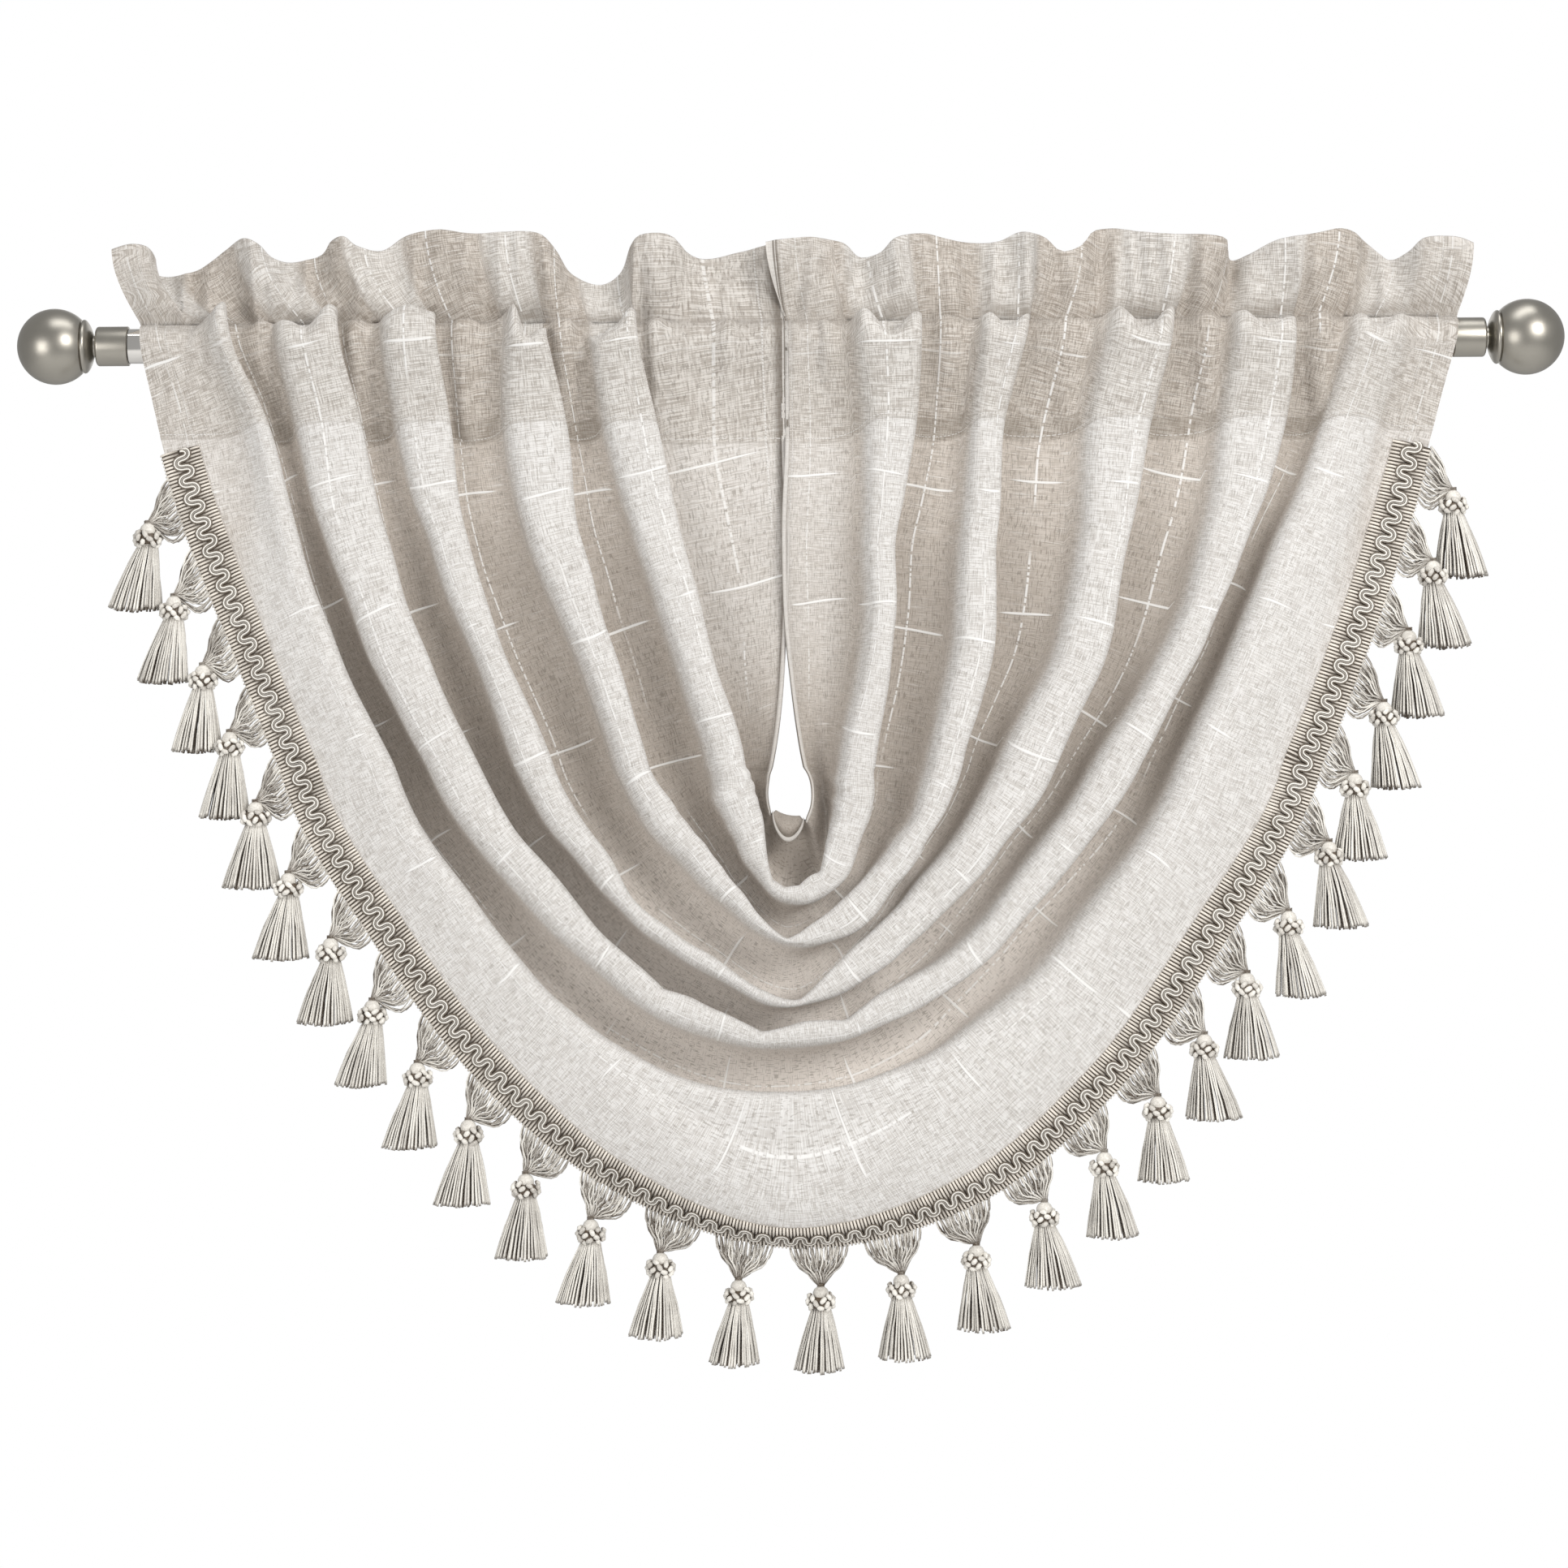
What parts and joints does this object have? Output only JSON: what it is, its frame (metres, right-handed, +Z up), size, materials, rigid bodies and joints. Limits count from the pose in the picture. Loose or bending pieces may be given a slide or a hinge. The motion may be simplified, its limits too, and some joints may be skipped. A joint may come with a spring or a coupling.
{
  "type": "swag valance on a curtain rod",
  "caption": "Sheer linen-look swag valance gathered on a ball-ended rod, with nested leaning folds round a centre slit and a braid edge hung with tassels.",
  "frame": {"origin": "centre of the rod's axis, midway along the cloth's heading, where wall brackets would hold the rod", "axes": "+X along the rod to the right, -Y towards the room, +Z up"},
  "size_m": [1.2382, 0.0813, 0.9006],
  "materials": {
    "linen": "sheer slub weave",
    "braid": "corded gimp",
    "tassel": "lustrous yarn",
    "rod_metal": "polished",
    "finial_metal": "satin pewter"
  },
  "bodies": {
    "root": {"rod": "rod_metal", "collar_left": "finial_metal", "finial_left": "finial_metal", "collar_right": "finial_metal", "finial_right": "finial_metal", "swag_cloth": "linen", "edge_braid": "braid", "tassel_01": "tassel", "tassel_02": "tassel", "tassel_03": "tassel", "tassel_04": "tassel", "tassel_05": "tassel", "tassel_06": "tassel", "tassel_07": "tassel", "tassel_08": "tassel", "tassel_09": "tassel", "tassel_10": "tassel", "tassel_11": "tassel", "tassel_12": "tassel", "tassel_13": "tassel", "tassel_14": "tassel", "tassel_15": "tassel", "tassel_16": "tassel", "tassel_17": "tassel", "tassel_18": "tassel", "tassel_19": "tassel", "tassel_20": "tassel", "tassel_21": "tassel", "tassel_22": "tassel", "tassel_23": "tassel", "tassel_24": "tassel", "tassel_25": "tassel", "tassel_26": "tassel", "tassel_27": "tassel", "tassel_28": "tassel", "tassel_29": "tassel"}
  },
  "joints": []
}
